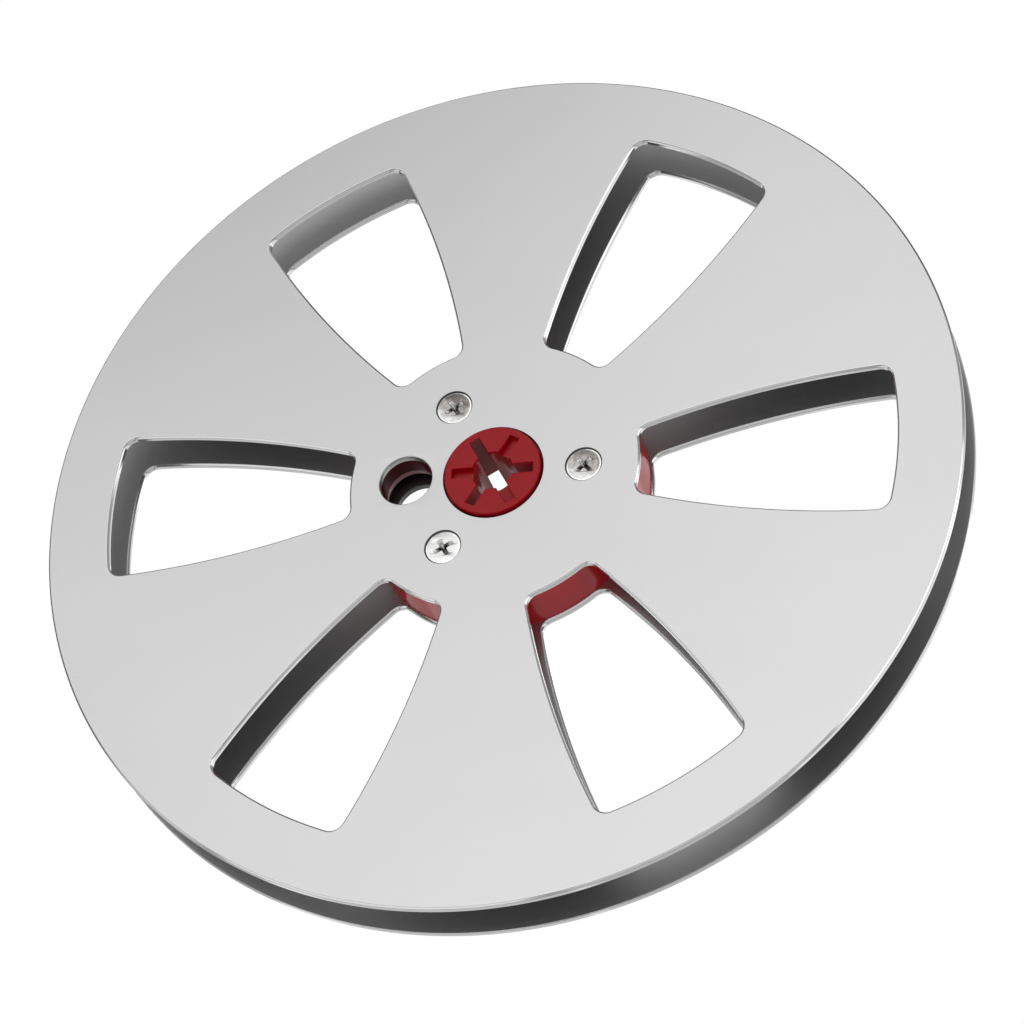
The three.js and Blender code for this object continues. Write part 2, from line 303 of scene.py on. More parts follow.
def revolved(profile, segments, name="tool", closed=False):
    """A body turned about Z from (radius, height) pairs, which start and end on the axis unless closed."""
    shape = Shape()
    body = profile if closed else profile[1:-1]
    rings = []
    for radius, height in body:
        rings.append(shape.ring(around(radius, segments), height))
    for lower, upper in zip(rings, rings[1:]):
        shape.band(lower, upper)
    if closed:
        shape.band(rings[-1], rings[0])
    else:
        for end, ring in ((profile[0], rings[0]), (profile[-1], rings[-1])):
            middle = shape.ring([Vector((0, 0))], end[1])[0]
            for i in range(segments):
                shape.face((middle, ring[i], ring[(i + 1) % segments]))
    return shape.make(name)


def at_polar(piece, radius, angle, turn=0.0):
    """Turns a piece's mesh about Z, then moves it to a spot given by its radius and angle."""
    spot = polar(radius, angle)
    motion = Matrix.Translation(Vector((spot.x, spot.y, 0))) @ Matrix.Rotation(turn, 4, "Z")
    piece.data.transform(motion)
    return piece


def turned_over(piece):
    """Turns a piece's mesh half round about X, from the front side to the rear."""
    piece.data.transform(Matrix.Rotation(HALF_TURN, 4, "X"))
    return piece


def only_material(piece, material):
    piece.data.materials.clear()
    piece.data.materials.append(material)


def boolean(piece, tool, operation):
    """Joins a tool to a piece or cuts it from it, and removes the tool."""
    step = piece.modifiers.new(operation, "BOOLEAN")
    step.operation = operation
    step.solver = "EXACT"
    step.object = tool
    evaluated = piece.evaluated_get(bpy.context.evaluated_depsgraph_get())
    result = bpy.data.meshes.new_from_object(evaluated)
    piece.modifiers.clear()
    old = piece.data
    piece.data = result
    bpy.data.meshes.remove(old)
    bpy.data.objects.remove(tool)


def welded(piece):
    """Merges the points that the booleans leave on top of one another."""
    mesh = bmesh.new()
    mesh.from_mesh(piece.data)
    bmesh.ops.remove_doubles(mesh, verts=mesh.verts, dist=WELD_DISTANCE)
    bmesh.ops.dissolve_degenerate(mesh, edges=mesh.edges, dist=WELD_DISTANCE)
    mesh.to_mesh(piece.data)
    mesh.free()
    return piece


def to_metres(piece):
    piece.data.transform(Matrix.Scale(MM, 4))
    return piece


def shade(piece):
    """Smooth shading that keeps flat faces flat: crisp over an angle, and weighted by area under it."""
    mesh = to_metres(welded(piece)).data
    mesh.polygons.foreach_set("use_smooth", [True] * len(mesh.polygons))
    mesh.set_sharp_from_angle(angle=SHARP_ANGLE)
    weigh = piece.modifiers.new("weighted_normals", "WEIGHTED_NORMAL")
    weigh.keep_sharp = True
    weigh.weight = AREA_WEIGHT
    return piece


# ---- Materials ----


class Nodes:
    """A material's node tree, with short calls to add and link nodes."""

    def __init__(self, name):
        self.material = bpy.data.materials.new(name)
        self.material.use_nodes = True
        self.tree = self.material.node_tree
        self.tree.nodes.clear()
        output = self.add("ShaderNodeOutputMaterial")
        self.surface = self.add("ShaderNodeBsdfPrincipled")
        self.link(self.surface.outputs["BSDF"], output.inputs["Surface"])

    def add(self, kind, **values):
        node = self.tree.nodes.new(kind)
        for key, value in values.items():
            setattr(node, key, value)
        return node

    def link(self, source, target):
        self.tree.links.new(source, target)

    def set(self, **values):
        for key, value in values.items():
            self.surface.inputs[key.replace("_", " ")].default_value = value

    def position(self, scale, turn=0.0):
        """Object coordinates in millimetres, turned about Z and scaled along each axis."""
        coordinates = self.add("ShaderNodeTexCoord")
        mapping = self.add("ShaderNodeMapping")
        mapping.inputs["Rotation"].default_value = (0, 0, turn)
        mapping.inputs["Scale"].default_value = [s / MM for s in scale]
        self.link(coordinates.outputs["Object"], mapping.inputs["Vector"])
        return mapping.outputs["Vector"]

    def noise(self, scale, detail, turn=0.0, roughness=0.5):
        """Noise with so many cells to the millimetre along each axis."""
        node = self.add("ShaderNodeTexNoise")
        node.inputs["Scale"].default_value = 1.0
        node.inputs["Detail"].default_value = detail
        node.inputs["Roughness"].default_value = roughness
        self.link(self.position(scale, turn), node.inputs["Vector"])
        return node.outputs["Fac"]

    def span(self, value, low, high, from_low=0.0, from_high=1.0):
        """Maps a value between two limits."""
        node = self.add("ShaderNodeMapRange")
        node.inputs["From Min"].default_value = from_low
        node.inputs["From Max"].default_value = from_high
        node.inputs["To Min"].default_value = low
        node.inputs["To Max"].default_value = high
        self.link(value, node.inputs["Value"])
        return node.outputs["Result"]

    def mix(self, share, first, second):
        """Mixes two colours: the first where share is 0 and the second where it is 1."""
        node = self.add("ShaderNodeMix", data_type="RGBA")
        self.link(share, node.inputs["Factor"])
        for socket, colour in ((node.inputs["A"], first), (node.inputs["B"], second)):
            if isinstance(colour, tuple):
                socket.default_value = (*colour, 1)
            else:
                self.link(colour, socket)
        return node.outputs["Result"]

    def math(self, operation, first, second=None):
        node = self.add("ShaderNodeMath", operation=operation)
        for socket, value in zip(node.inputs, (first, second)):
            if value is None:
                continue
            if isinstance(value, (int, float)):
                socket.default_value = value
            else:
                self.link(value, socket)
        return node.outputs["Value"]

    def coordinates(self):
        """Object coordinates in millimetres, as X, Y and Z."""
        split = self.add("ShaderNodeSeparateXYZ")
        self.link(self.position((1, 1, 1)), split.inputs["Vector"])
        return [split.outputs[axis] for axis in "XYZ"]

    def distance(self, x, y):
        """How far a point is from an upright line through (x, y), in millimetres."""
        across, along, _ = self.coordinates()
        squares = [
            self.math("POWER", self.math("ABSOLUTE", self.math("SUBTRACT", value, middle)), 2.0)
            for value, middle in ((across, x), (along, y))
        ]
        return self.math("SQRT", self.math("ADD", *squares))

    def within(self, value, edge, blur):
        """1 where a value is under an edge and 0 where it is over it."""
        return self.span(value, 1.0, 0.0, edge - blur, edge + blur)

    def both(self, first, second):
        """The overlap of two masks."""
        return self.math("MULTIPLY", first, second)

    def either(self, first, second):
        """Two masks joined."""
        return self.math("MAXIMUM", first, second)

    def outside(self, mask):
        return self.math("SUBTRACT", 1.0, mask)

    def bump(self, height, distance, strength):
        node = self.add("ShaderNodeBump")
        node.inputs["Distance"].default_value = distance * MM
        node.inputs["Strength"].default_value = strength
        self.link(height, node.inputs["Height"])
        self.link(node.outputs["Normal"], self.surface.inputs["Normal"])


# Noise scales are in cells to the millimetre, and distances are in millimetres.
GRAIN_TURN = math.radians(-94)
GRAIN_SCALE = (0.35, 5.0, 1.0)
SPECKLE_SCALE = (6.0, 9.0, 6.0)
CLOUD_SCALE = (0.03, 0.06, 0.05)
GRAIN_SHARE = 0.7
SPECKLE_SHARE = 0.3
CLOUD_SPREAD = 0.02
SATIN_SPREAD = 0.05
GRAIN_DEPTH = 0.004
GRAIN_STRENGTH = 0.35


def satin_aluminium(name, brightness, roughness):
    """Fine straight grain from the rolling mill under a satin finish."""
    nodes = Nodes(name)
    nodes.set(Metallic=1.0)
    grain = nodes.noise(GRAIN_SCALE, detail=2.0, turn=GRAIN_TURN)
    speckle = nodes.noise(SPECKLE_SCALE, detail=2.0, turn=GRAIN_TURN)
    cloud = nodes.noise(CLOUD_SCALE, detail=2.0, turn=GRAIN_TURN)
    dull = (brightness * (1 - CLOUD_SPREAD),) * 3
    bright = (brightness * (1 + CLOUD_SPREAD),) * 3
    nodes.link(nodes.mix(cloud, dull, bright), nodes.surface.inputs["Base Color"])
    height = nodes.math(
        "ADD",
        nodes.math("MULTIPLY", grain, GRAIN_SHARE),
        nodes.math("MULTIPLY", speckle, SPECKLE_SHARE),
    )
    satin = nodes.span(height, roughness - SATIN_SPREAD, roughness + SATIN_SPREAD)
    nodes.link(satin, nodes.surface.inputs["Roughness"])
    nodes.bump(height, GRAIN_DEPTH, GRAIN_STRENGTH)
    return nodes.material


CUT_MARK_SCALE = (1.0, 1.0, 14.0)
CUT_COLOUR = (0.88, 0.88, 0.885)
CUT_COLOUR_BRIGHT = (0.92, 0.92, 0.92)
CUT_ROUGHNESS = (0.12, 0.18)
# This deep grey for the seat, hub-hole and peep-hole walls is painted shade.
CUT_SHADE_COLOUR = (0.22, 0.22, 0.22)
DEEP_CUT_ROUGHNESS = 0.45


def machined_aluminium():
    """The bright cut surface of the chamfers and edges."""
    nodes = Nodes("machined_aluminium")
    nodes.set(Metallic=1.0)
    marks = nodes.noise(CUT_MARK_SCALE, detail=2.0)
    nodes.link(nodes.mix(marks, CUT_COLOUR, CUT_COLOUR_BRIGHT), nodes.surface.inputs["Base Color"])
    nodes.link(nodes.span(marks, *CUT_ROUGHNESS), nodes.surface.inputs["Roughness"])
    return nodes.material


def painted_shade_aluminium():
    """Dull aluminium whose deep grey colour is painted shade, for the walls of the screw seats, the hub's
    hole and the rear flange's peep hole, which hardly any light reaches."""
    nodes = Nodes("painted_shade_aluminium")
    nodes.set(Metallic=1.0, Base_Color=(*CUT_SHADE_COLOUR, 1), Roughness=DEEP_CUT_ROUGHNESS)
    return nodes.material


# Where the plastic's look changes, and over how many millimetres it fades on either side
PLASTIC_FADE = 0.1
DRUM_SKIN = 0.5
BOSS_SKIN = 0.2
# Half the height within which the inside of the hub is painted with shade.
HOLLOW_HALF_HEIGHT = 2.6
PEEP_FADE = 0.01
LIP_FADE = 0.25
BORE_MARGIN = 0.3
BORE_FADE = 0.05
BORE_DEPTH_FADE = 0.2

PIGMENT_SCALE = (0.25, 0.25, 0.25)
MOULD_SCALE = (4.0, 4.0, 4.0)
BOSS_RED = (0.45, 0.002, 0.008)
BOSS_RED_BRIGHT = (0.49, 0.004, 0.011)
# The drum's brighter red is painted light, the peep wall's deep red and the black inside the hub are
# painted shade, and the lip's pink is a painted reflection.
PAINTED_LIGHT_DRUM_RED = (0.80, 0.007, 0.016)
PAINTED_SHADE_PEEP_RED = (0.09, 0.001, 0.004)
PAINTED_REFLECTION_LIP_PINK = (0.55, 0.25, 0.25)
PAINTED_SHADE_HOLLOW_BLACK = (0.012, 0.004, 0.004)
SATIN_SPECULAR = 0.28
GLOSSY_SPECULAR = 0.45
HOLLOW_SPECULAR_SHARE = 0.15
SATIN_ROUGHNESS = 0.30
GLOSSY_ROUGHNESS = 0.16
MOULD_ROUGHNESS_SPREAD = 0.04
MOULD_DEPTH = 0.008
MOULD_STRENGTH = 0.2


def red_plastic():
    """Moulded plastic: satin on the boss, and glossier on the drum and in the bore. Painted light makes the
    drum a brighter red, painted shade makes the peep hole's wall deep red and the inside of the hub near
    black, and a painted reflection makes the lip at the peep hole's inner end pale pink."""
    nodes = Nodes("red_plastic")
    pigment = nodes.noise(PIGMENT_SCALE, detail=3.0)
    texture = nodes.noise(MOULD_SCALE, detail=3.0)
    from_axis = nodes.distance(0, 0)
    height = nodes.math("ABSOLUTE", nodes.coordinates()[2])

    on_drum = nodes.outside(nodes.within(from_axis, DRUM_RADIUS - DRUM_SKIN, PLASTIC_FADE))
    in_boss = nodes.within(from_axis, BOSS_RADIUS - BOSS_SKIN, PLASTIC_FADE)
    # The peep hole's wall gets a deep red of painted shade.
    in_peep = nodes.within(nodes.distance(-PEEP_CIRCLE_RADIUS, 0), PEEP_COLLAR_RADIUS, PEEP_FADE)
    # The lip gets a pale pink of painted reflection.
    lip = nodes.both(in_peep, nodes.within(height, PEEP_FLARE_START_Z, LIP_FADE))
    in_bore = nodes.both(
        nodes.within(from_axis, BORE_RADIUS + BORE_MARGIN, BORE_FADE),
        nodes.within(height, BOSS_FACE_Z - BORE_MARGIN, BORE_DEPTH_FADE),
    )
    # Inside the hub, away from the drum, boss and peep hole, the colour is near-black painted shade.
    hollow = nodes.both(nodes.outside(on_drum), nodes.within(height, HOLLOW_HALF_HEIGHT, PLASTIC_FADE))
    hollow = nodes.both(hollow, nodes.outside(nodes.either(in_boss, in_peep)))

    red = nodes.mix(pigment, BOSS_RED, BOSS_RED_BRIGHT)
    # Painted light on the drum, painted shade in the peep hole and inside the hub, and a painted reflection
    # on the lip.
    for mask, colour in (
        (on_drum, PAINTED_LIGHT_DRUM_RED),
        (in_peep, PAINTED_SHADE_PEEP_RED),
        (lip, PAINTED_REFLECTION_LIP_PINK),
        (hollow, PAINTED_SHADE_HOLLOW_BLACK),
    ):
        red = nodes.mix(mask, red, colour)
    nodes.link(red, nodes.surface.inputs["Base Color"])

    gloss = nodes.either(on_drum, in_bore)
    # Specular is also lowered where shade is painted, inside the hub and on the peep wall.
    dark = nodes.either(hollow, nodes.math("SUBTRACT", in_peep, lip))
    level = nodes.math(
        "MULTIPLY",
        nodes.span(gloss, SATIN_SPECULAR, GLOSSY_SPECULAR),
        nodes.span(dark, 1.0, HOLLOW_SPECULAR_SHARE),
    )
    nodes.link(level, nodes.surface.inputs["Specular IOR Level"])
    rough = nodes.math(
        "ADD",
        nodes.span(gloss, SATIN_ROUGHNESS, GLOSSY_ROUGHNESS),
        nodes.span(texture, -MOULD_ROUGHNESS_SPREAD, MOULD_ROUGHNESS_SPREAD),
    )
    nodes.link(rough, nodes.surface.inputs["Roughness"])
    nodes.bump(texture, MOULD_DEPTH, MOULD_STRENGTH)
    return nodes.material


TARNISH_WAY = polar(1, math.radians(62))
TARNISH_FULL_SHARE = 0.6
PIT_SCALE = (2.2, 2.2, 2.2)
PIT_REACH = 2.0
HAZE_SCALE = (0.8, 0.8, 0.8)
HAZE_REACH = 3.0
HEAD_TOP_DEPTH = 0.04
HEAD_TOP_DEPTH_FADE = 0.02
HEAD_TOP_FADE = 0.03
# The recess is painted with shade between these depths, turning near black towards its floor.
RECESS_SHADE_START_DEPTH = 1.1
RECESS_SHADE_FULL_DEPTH = 1.8
RECESS_SHADE_SHARE = 0.9
PLATE_COLOUR = (0.86, 0.86, 0.85)
TARNISH_COLOUR = (0.23, 0.20, 0.185)
RECESS_SHADE_COLOUR = (0.02, 0.02, 0.02)
PLATE_ROUGHNESS = (0.16, 0.34)
BEVEL_ROUGHNESS_SHARE = 0.4
PIT_DEPTH = 0.03
PIT_STRENGTH = 0.2
TARNISH_PIT_STRENGTH = 0.4


def plated_steel(name, spot, tarnish):
    """Nickel plate over turned steel, patchily tarnished on one side, with painted shade that darkens its
    recess towards the floor.
    """
    nodes = Nodes(name)
    nodes.set(Metallic=1.0)
    pits = nodes.noise(PIT_SCALE, detail=4.0, roughness=0.65)
    haze = nodes.noise(HAZE_SCALE, detail=2.0)
    x, y, z = nodes.coordinates()
    along = nodes.math(
        "ADD",
        nodes.math("MULTIPLY", nodes.math("SUBTRACT", x, spot.x), TARNISH_WAY.x),
        nodes.math("MULTIPLY", nodes.math("SUBTRACT", y, spot.y), TARNISH_WAY.y),
    )
    patchy = nodes.math("ADD", along, nodes.span(haze, -HAZE_REACH, HAZE_REACH))
    patchy = nodes.math("ADD", patchy, nodes.span(pits, -PIT_REACH, PIT_REACH))
    worn = nodes.span(patchy, 0.0, 1.0, -HEAD_RADIUS, HEAD_RADIUS * TARNISH_FULL_SHARE)
    worn = nodes.math("MULTIPLY", worn, tarnish)

    depth = nodes.math("SUBTRACT", HEAD_TOP_Z, nodes.math("ABSOLUTE", z))
    on_top = nodes.both(
        nodes.within(nodes.distance(spot.x, spot.y), HEAD_BEVEL_START, HEAD_TOP_FADE),
        nodes.within(depth, HEAD_TOP_DEPTH, HEAD_TOP_DEPTH_FADE),
    )
    colour = nodes.mix(nodes.both(worn, on_top), PLATE_COLOUR, TARNISH_COLOUR)
    # Painted shade: the recess turns near black towards its floor.
    recess_shade = nodes.span(depth, 0.0, RECESS_SHADE_SHARE, RECESS_SHADE_START_DEPTH, RECESS_SHADE_FULL_DEPTH)
    nodes.link(nodes.mix(recess_shade, colour, RECESS_SHADE_COLOUR), nodes.surface.inputs["Base Color"])
    satin = nodes.math(
        "MULTIPLY",
        nodes.span(pits, *PLATE_ROUGHNESS),
        nodes.span(on_top, BEVEL_ROUGHNESS_SHARE, 1.0),
    )
    nodes.link(satin, nodes.surface.inputs["Roughness"])
    nodes.bump(pits, PIT_DEPTH, PIT_STRENGTH + TARNISH_PIT_STRENGTH * tarnish)
    return nodes.material


# ---- Flanges ----

RIM_SEGMENTS = 384
HOLE_SEGMENTS = 160
SEAT_SEGMENTS = 96
FILLET_SEGMENTS = 14
WINDOW_SIDE_SEGMENTS = 28
WINDOW_END_SEGMENTS = 22
OUTER_CHAMFER_STEPS = 4
INNER_CHAMFER_STEPS = 3
# The inner faces' slot and the deep walls' slot take aluminium whose colour is painted shade.
SHEET_SLOT, EDGE_SLOT, INSIDE_SLOT, SHADE_SLOT = range(4)


def corner_centre(from_axis, from_side):
    """Where a circle about the axis meets a circle about a window side's centre, across the middle line."""
    reach = WINDOW_SIDE_CENTRE.length
    along = (from_axis**2 - from_side**2 + reach**2) / (2 * reach)
    across = math.sqrt(from_axis**2 - along**2)
    unit = WINDOW_SIDE_CENTRE.normalized()
    return unit * along + Vector((-unit.y, unit.x)) * across


def window_outline():
    """A window about +X: arcs about the axis at its ends, bowed sides, and fillets between them."""
    axis = Vector((0, 0))
    outer = corner_centre(
        WINDOW_OUTER_RADIUS - WINDOW_OUTER_FILLET, WINDOW_SIDE_RADIUS - WINDOW_OUTER_FILLET
    )
    inner = corner_centre(
        WINDOW_INNER_RADIUS + WINDOW_INNER_FILLET, WINDOW_SIDE_RADIUS - WINDOW_INNER_FILLET
    )
    outer_side = angle_of(outer - WINDOW_SIDE_CENTRE)
    inner_side = angle_of(inner - WINDOW_SIDE_CENTRE)
    half = [
        *arc(axis, WINDOW_OUTER_RADIUS, 0, angle_of(outer), WINDOW_END_SEGMENTS),
        *arc(outer, WINDOW_OUTER_FILLET, angle_of(outer), outer_side, FILLET_SEGMENTS),
        *arc(WINDOW_SIDE_CENTRE, WINDOW_SIDE_RADIUS, outer_side, inner_side, WINDOW_SIDE_SEGMENTS),
        *arc(inner, WINDOW_INNER_FILLET, inner_side, angle_of(inner) + HALF_TURN, FILLET_SEGMENTS),
        *arc(axis, WINDOW_INNER_RADIUS, angle_of(inner), 0, WINDOW_END_SEGMENTS, into=-1),
    ]
    flip = Matrix(((1, 0), (0, -1)))
    other = [(flip @ point, flip @ way) for point, way in reversed(half)]
    return without_doubles(half + other)


def edge_profile(outer, inner):
    """The offset into the material at each height, from the outer face's chamfer to the inner face's."""
    half_way = (0, (OUTER_FACE_Z + INNER_FACE_Z) / 2)
    outer_corners = [
        (outer + CHAMFER_ROUND * 2, OUTER_FACE_Z),
        (outer, OUTER_FACE_Z),
        (0, OUTER_FACE_Z - outer),
        half_way,
    ]
    inner_corners = [
        half_way,
        (0, INNER_FACE_Z + inner),
        (inner, INNER_FACE_Z),
        (inner + CHAMFER_ROUND * 2, INNER_FACE_Z),
    ]
    outer_half = rounded(outer_corners, min(CHAMFER_ROUND, outer / 2), OUTER_CHAMFER_STEPS)
    inner_half = rounded(inner_corners, min(CHAMFER_ROUND, inner / 2), INNER_CHAMFER_STEPS)
    return outer_half[1:-1] + inner_half[1:-1]


def seat_profile():
    """A short straight mouth, then a cone that follows the screw's head."""
    cone_top = OUTER_FACE_Z - SEAT_STRAIGHT_DEPTH
    return [
        (SEAT_EDGE, OUTER_FACE_Z),
        (0, OUTER_FACE_Z - SEAT_EDGE),
        (0, cone_top),
        (INNER_FACE_Z - cone_top, INNER_FACE_Z),
    ]


def flange_edges(peep_slot):
    """Every edge of the sheet, as its outline, its profile and the material slot of its wall."""
    rim = circle((0, 0), FLANGE_RADIUS, RIM_SEGMENTS, into=-1)
    edges = [(rim, edge_profile(EDGE_CHAMFER, INNER_RIM_CHAMFER), EDGE_SLOT)]
    window = window_outline()
    window_profile = edge_profile(EDGE_CHAMFER, EDGE_CHAMFER)
    for i in range(WINDOW_COUNT):
        edges.append((turned_by(window, i * SIXTH_TURN), window_profile, EDGE_SLOT))
    hub_hole = circle((0, 0), HUB_HOLE_RADIUS, HOLE_SEGMENTS)
    edges.append((hub_hole, edge_profile(HUB_HOLE_CHAMFER, HUB_HOLE_CHAMFER), SHADE_SLOT))
    peep = circle(polar(PEEP_CIRCLE_RADIUS, HALF_TURN), PEEP_HOLE_RADIUS, HOLE_SEGMENTS)
    edges.append((peep, edge_profile(HOLE_CHAMFER, HUB_HOLE_CHAMFER), peep_slot))
    for i in range(SCREW_COUNT):
        spot = polar(SCREW_CIRCLE_RADIUS, i * THIRD_TURN)
        edges.append((circle(spot, SEAT_RADIUS, SEAT_SEGMENTS), seat_profile(), SHADE_SLOT))
    return edges


def flange(name, peep_slot, *materials):
    """A flange on the front side: a flat sheet between its edges' outer and inner ends."""
    shape = Shape()
    outer_rings, inner_rings = [], []
    for outline, profile, cut in flange_edges(peep_slot):
        rings = [shape.ring(offset(outline, into), z) for into, z in profile]
        for upper, lower in zip(rings, rings[1:]):
            shape.band(upper, lower, material=cut)
        outer_rings.append(rings[0])
        inner_rings.append(rings[-1])
    shape.cap(*outer_rings)
    # The inner face takes the copy of the sheet dimmed with painted shade.
    shape.cap(*inner_rings, material=INSIDE_SLOT)
    return shade(shape.make(name, *materials))


# ---- Hub ----

BOSS_SEGMENTS = 192
BORE_ARC_SEGMENTS = 12
GAP_ARC_SEGMENTS = 8
CORNER_SEGMENTS = 5
POST_SEGMENTS = 64
MOUTH_STEPS = 3


def land_corner(half_width):
    """The centre of the round between the bore and a keyway's side."""
    across = half_width + LAND_CORNER_ROUND
    return Vector((math.sqrt((BORE_RADIUS + LAND_CORNER_ROUND) ** 2 - across**2), across))


def slot_outline(half_width, reach):
    """One keyway about +X, from the bore out to its end and back."""
    land = land_corner(half_width)
    below = Vector((land.x, -land.y))
    end = Vector((reach - KEYWAY_CORNER_ROUND, half_width - KEYWAY_CORNER_ROUND))
    end_below = Vector((end.x, -end.y))
    bore_side = HALF_TURN - angle_of(land)
    return [
        *arc(below, LAND_CORNER_ROUND, bore_side, QUARTER_TURN, CORNER_SEGMENTS, into=-1),
        *arc(end_below, KEYWAY_CORNER_ROUND, -QUARTER_TURN, 0, CORNER_SEGMENTS),
        *arc(end, KEYWAY_CORNER_ROUND, 0, QUARTER_TURN, CORNER_SEGMENTS),
        *arc(land, LAND_CORNER_ROUND, -QUARTER_TURN, -bore_side, CORNER_SEGMENTS, into=-1),
    ]


def bore_outline(rearward):
    """The bore with its keyways, which are through and shallow by turns. rearward is 0 at the front
    face and 1 at the rear one. Also says which points belong to a shallow recess."""
    outline, shallow = [], []
    wide = KEYWAY_HALF_WIDTH + (KEYWAY_HALF_WIDTH_REAR - KEYWAY_HALF_WIDTH) * rearward
    long = KEYWAY_REACH + (KEYWAY_REACH_REAR - KEYWAY_REACH) * rearward
    sizes = [(wide, long), (KEYWAY_HALF_WIDTH, KEYWAY_REACH)]
    for i in range(KEYWAY_COUNT):
        half_width, reach = sizes[i % 2]
        slot = turned_by(slot_outline(half_width, reach), i * SIXTH_TURN)
        start = i * SIXTH_TURN + angle_of(land_corner(half_width))
        end = (i + 1) * SIXTH_TURN - angle_of(land_corner(sizes[(i + 1) % 2][0]))
        bore = arc((0, 0), BORE_RADIUS, start, end, BORE_ARC_SEGMENTS)[1:-1]
        outline += slot + bore
        shallow += [i % 2 == 1] * len(slot) + [False] * len(bore)
    return outline, shallow


def boss():
    """The closed body of the boss, with the bore and the keyways, from face to face."""
    shape = Shape()
    floor_z = BOSS_FACE_Z - KEYWAY_RECESS_DEPTH
    levels = []
    for slope in quarter_turn_steps(MOUTH_STEPS):
        into = MOUTH_ROUND * (1 - math.sin(slope))
        levels.append((into, BOSS_FACE_Z - MOUTH_ROUND * (1 - math.cos(slope))))
    levels.append((0, floor_z))
    levels += [(into, -z) for into, z in reversed(levels)]
    rings = []
    for into, z in levels:
        outline, shallow = bore_outline((BOSS_FACE_Z - z) / (2 * BOSS_FACE_Z))
        rings.append(shape.ring(offset(outline, into), z))
    count = len(rings[0])
    through = [not (shallow[i] and shallow[(i + 1) % count]) for i in range(count)]
    front_floor = len(levels) // 2 - 1
    for i, (upper, lower) in enumerate(zip(rings, rings[1:])):
        shape.band(upper, lower, keep=through if i == front_floor else None)
    close_recesses(shape, rings[front_floor], rings[front_floor + 1], shallow, floor_z)
    sides = [shape.ring(around(radius, BOSS_SEGMENTS), z) for radius, z in boss_side()]
    for upper, lower in zip(sides, sides[1:]):
        shape.band(upper, lower)
    shape.cap(sides[0], rings[0])
    shape.cap(sides[-1], rings[-1])
    return shape.make("boss")


def boss_side():
    """The boss's rounded outer edge and its side, from the front face to the rear one."""
    made = []
    for slope in quarter_turn_steps(ROUND_STEPS):
        radius = BOSS_RADIUS - BOSS_EDGE_ROUND * (1 - math.sin(slope))
        made.append((radius, BOSS_FACE_Z - BOSS_EDGE_ROUND * (1 - math.cos(slope))))
    return made + [(radius, -z) for radius, z in reversed(made)]


def close_recesses(shape, front_ring, rear_ring, shallow, floor_z):
    """Floors for the shallow recesses, and the bore's wall between a front recess and the rear one."""
    rounds_in_slot = 4
    per_slot = rounds_in_slot * (CORNER_SEGMENTS + 1)
    starts = [i for i in range(len(shallow)) if shallow[i] and not shallow[i - 1]]
    for start in starts:
        ends = []
        for ring, z in ((front_ring, floor_z), (rear_ring, -floor_z)):
            first, last = ring[start], ring[start + per_slot - 1]
            from_angle = angle_of(Vector(shape.points[last][:2]))
            to_angle = angle_of(Vector(shape.points[first][:2]))
            if to_angle - from_angle > HALF_TURN:
                to_angle -= FULL_TURN
            if from_angle - to_angle > HALF_TURN:
                to_angle += FULL_TURN
            gap = [p for p, _ in arc((0, 0), BORE_RADIUS, from_angle, to_angle, GAP_ARC_SEGMENTS)]
            middle = shape.ring(gap[1:-1], z)
            shape.cap(ring[start : start + per_slot] + middle)
            ends.append([last, *middle, first])
        for i in range(GAP_ARC_SEGMENTS):
            shape.face((ends[0][i], ends[0][i + 1], ends[1][i + 1], ends[1][i]))


def drum():
    """The wall that the tape winds on, with its web behind the front flange."""
    web_rear = INNER_FACE_Z - WEB_THICKNESS
    wall_inner = DRUM_RADIUS - DRUM_WALL
    corners = [
        (BOSS_JOIN_RADIUS, INNER_FACE_Z),
        (BOSS_JOIN_RADIUS, web_rear),
        (wall_inner, web_rear),
        (wall_inner, -INNER_FACE_Z),
        (DRUM_RADIUS, -INNER_FACE_Z),
        (DRUM_RADIUS, INNER_FACE_Z),
    ]
    return revolved(corners, BOSS_SEGMENTS, "drum", closed=True)


def box(length, width, height):
    """A box that starts at the origin and runs along X, centred in Y and Z."""
    shape = Shape()
    corners = [Vector((0, -width / 2)), Vector((length, -width / 2))]
    corners += [Vector((length, width / 2)), Vector((0, width / 2))]
    low, high = shape.ring(corners, -height / 2), shape.ring(corners, height / 2)
    shape.band(low, high)
    shape.face(low)
    shape.face(high)
    return shape.make("tool")


def cylinder(radius, low, high, segments):
    return revolved([(0, low), (radius, low), (radius, high), (0, high)], segments)


def pilot():
    """The hole through a post, which opens into the screws' seats at both ends."""
    cone_top = OUTER_FACE_Z - SEAT_STRAIGHT_DEPTH
    cone_end = cone_top - (SEAT_RADIUS - PILOT_RADIUS)
    half = [(0, cone_top), (SEAT_RADIUS, cone_top), (PILOT_RADIUS, cone_end)]
    return revolved(half + [(radius, -z) for radius, z in reversed(half)], POST_SEGMENTS)


def peep_cutter():
    """Cuts the peep hole, flares its inner end and rounds the collar's lip."""
    lip = PEEP_HOLE_RADIUS + PEEP_FLARE
    low, high = PEEP_COLLAR_END_Z - CUTTER_OVERSHOOT, INNER_FACE_Z + CUTTER_OVERSHOOT
    profile = [(0, low), (lip + PEEP_LIP_ROUND, low)]
    for slope in quarter_turn_steps(ROUND_STEPS):
        radius = lip + PEEP_LIP_ROUND * (1 - math.sin(slope))
        height = PEEP_COLLAR_END_Z - END_CLEARANCE + PEEP_LIP_ROUND * (1 - math.cos(slope))
        profile.append((radius, height))
    profile += [(PEEP_HOLE_RADIUS, PEEP_FLARE_START_Z), (PEEP_HOLE_RADIUS, high), (0, high)]
    return revolved(profile, HOLE_SEGMENTS)


